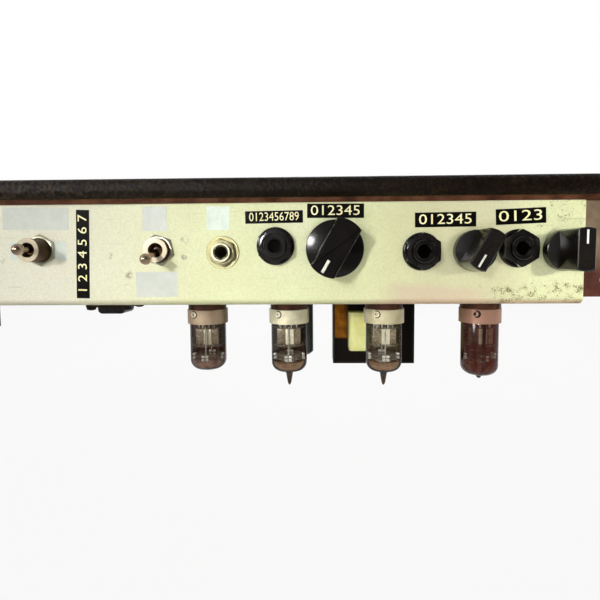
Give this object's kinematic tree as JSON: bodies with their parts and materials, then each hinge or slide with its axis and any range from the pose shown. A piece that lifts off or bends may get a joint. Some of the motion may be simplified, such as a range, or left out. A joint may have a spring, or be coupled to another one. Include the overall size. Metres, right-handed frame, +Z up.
{
  "type": "tube amplifier chassis",
  "caption": "Valve amplifier chassis hung under a leathercloth-covered board, with knobs, jacks and toggle switches on its panel and valves, transformers and a capacitor below.",
  "frame": {"origin": "middle of the four ear bolt holes, on the outer face of the ears", "axes": "+X along the panel to the right as seen from the rear panel, +Y from the rear panel to the front panel, +Z up, valves hanging down"},
  "size_m": [0.536, 0.2083, 0.1403],
  "materials": {
    "zinc_sheet": "dull zinc-plated sheet",
    "cream_paint": "satin, aged",
    "bare_steel": "dull, oxidised",
    "plated_steel": "dull zinc plate",
    "brass_bush": "dull",
    "fibre": "matte vulcanised fibre",
    "plywood": "raw",
    "leathercloth": "pebbled",
    "black_moulding": "satin",
    "knob_phenolic": "polished",
    "brown_phenolic": "satin",
    "glass": "clear with silvering",
    "electrode_nickel": "dull",
    "varnished_iron": "varnished laminations",
    "yellow_tape": "film tape",
    "varnished_paper": "varnished",
    "black_enamel": "satin",
    "can_aluminium": "sleeved can",
    "lamp_jewel": "clear red",
    "board_laminate": "paper laminate",
    "component_orange": "dipped"
  },
  "bodies": {
    "chassis_assembly": {"chassis": "zinc_sheet", "rear_panel": "cream_paint", "front_panel": "cream_paint", "end_plates": "bare_steel", "screws_and_bolts": "plated_steel", "fibre_sheet": "fibre", "top_board": "plywood", "board_cloth": "leathercloth", "mode_switch": "brass_bush", "standby_switch": "brass_bush", "power_switch": "brass_bush", "line_jack": "plated_steel", "moulded_jacks": "black_moulding", "jack_nuts": "black_moulding", "pots": "plated_steel", "panel_nuts": "plated_steel", "valve_sockets": "brown_phenolic", "socket_shields": "plated_steel", "output_transformer_core": "varnished_iron", "output_transformer_coil": "yellow_tape", "output_transformer_bracket": "black_enamel", "power_transformer_core": "varnished_iron", "power_transformer_coil": "varnished_paper", "power_transformer_cover": "black_enamel", "choke_core": "varnished_iron", "choke_coil": "varnished_paper", "filter_capacitor": "can_aluminium", "capacitor_clamp": "plated_steel", "mains_inlet": "black_moulding", "inlet_blades": "plated_steel", "fuse_holder": "black_moulding", "pilot_lamp": "lamp_jewel", "circuit_board": "board_laminate", "board_parts": "component_orange"},
    "mode_lever_body": {"mode_lever": "plated_steel"},
    "standby_lever_body": {"standby_lever": "plated_steel"},
    "power_lever_body": {"power_lever": "plated_steel"},
    "reverb_control": {"reverb_knob": "knob_phenolic", "reverb_shaft": "plated_steel"},
    "return_control": {"return_knob": "knob_phenolic", "return_shaft": "plated_steel"},
    "send_control": {"send_knob": "knob_phenolic", "send_shaft": "plated_steel"},
    "volume_control": {"volume_knob": "knob_phenolic", "volume_shaft": "plated_steel"},
    "tone_control": {"tone_knob": "knob_phenolic", "tone_shaft": "plated_steel"},
    "fuse_cap_body": {"fuse_cap": "black_moulding"},
    "valve_1": {"valve_1_glass": "glass", "valve_1_cage": "electrode_nickel"},
    "valve_2": {"valve_2_glass": "glass", "valve_2_cage": "electrode_nickel"},
    "valve_3": {"valve_3_glass": "glass", "valve_3_cage": "electrode_nickel"},
    "valve_4": {"valve_4_glass": "glass", "valve_4_cage": "electrode_nickel"},
    "output_valve_1": {"output_valve_1_glass": "glass", "output_valve_1_cage": "electrode_nickel"},
    "output_valve_2": {"output_valve_2_glass": "glass", "output_valve_2_cage": "electrode_nickel"}
  },
  "joints": [
    {"name": "mode_lever_throw", "type": "hinge", "parent": "chassis_assembly", "child": "mode_lever_body", "pos_m": [-0.036, -0.0101, 0.0019], "axis": [0, 0, -1], "range_deg": [0, 30]},
    {"name": "standby_lever_throw", "type": "hinge", "parent": "chassis_assembly", "child": "standby_lever_body", "pos_m": [0.0258, -0.0044, 0.0015], "axis": [-1, 0, 0], "range_deg": [0, 30]},
    {"name": "power_lever_throw", "type": "hinge", "parent": "chassis_assembly", "child": "power_lever_body", "pos_m": [-0.1793, 0.15, 0], "axis": [1, 0, 0], "range_deg": [0, 30]},
    {"name": "reverb_turn", "type": "hinge", "parent": "chassis_assembly", "child": "reverb_control", "pos_m": [0.116, -0.0034, 0.0016], "axis": [0, 1, 0], "range_deg": [0, 300]},
    {"name": "return_turn", "type": "hinge", "parent": "chassis_assembly", "child": "return_control", "pos_m": [0.1853, -0.0034, 0.0002], "axis": [0, 1, 0], "range_deg": [0, 300]},
    {"name": "send_turn", "type": "hinge", "parent": "chassis_assembly", "child": "send_control", "pos_m": [0.2293, -0.0034, 0.0002], "axis": [0, 1, 0], "range_deg": [-150, 150]},
    {"name": "volume_turn", "type": "hinge", "parent": "chassis_assembly", "child": "volume_control", "pos_m": [0.0913, 0.149, 0], "axis": [0, -1, 0], "range_deg": [0, 300]},
    {"name": "tone_turn", "type": "hinge", "parent": "chassis_assembly", "child": "tone_control", "pos_m": [0.1413, 0.149, 0], "axis": [0, -1, 0], "range_deg": [-150, 150]},
    {"name": "fuse_cap_turn", "type": "hinge", "parent": "chassis_assembly", "child": "fuse_cap_body", "pos_m": [-0.1463, -0.0034, 0], "axis": [0, -1, 0], "range_deg": [0, 45]},
    {"name": "valve_1_pull", "type": "slide", "parent": "chassis_assembly", "child": "valve_1", "axis": [0, 0, -1], "range_m": [0, 0.025]},
    {"name": "valve_2_pull", "type": "slide", "parent": "chassis_assembly", "child": "valve_2", "axis": [0, 0, -1], "range_m": [0, 0.025]},
    {"name": "valve_3_pull", "type": "slide", "parent": "chassis_assembly", "child": "valve_3", "axis": [0, 0, -1], "range_m": [0, 0.025]},
    {"name": "valve_4_pull", "type": "slide", "parent": "chassis_assembly", "child": "valve_4", "axis": [0, 0, -1], "range_m": [0, 0.025]},
    {"name": "output_valve_1_pull", "type": "slide", "parent": "chassis_assembly", "child": "output_valve_1", "axis": [0, 0, -1], "range_m": [0, 0.025]},
    {"name": "output_valve_2_pull", "type": "slide", "parent": "chassis_assembly", "child": "output_valve_2", "axis": [0, 0, -1], "range_m": [0, 0.025]}
  ]
}
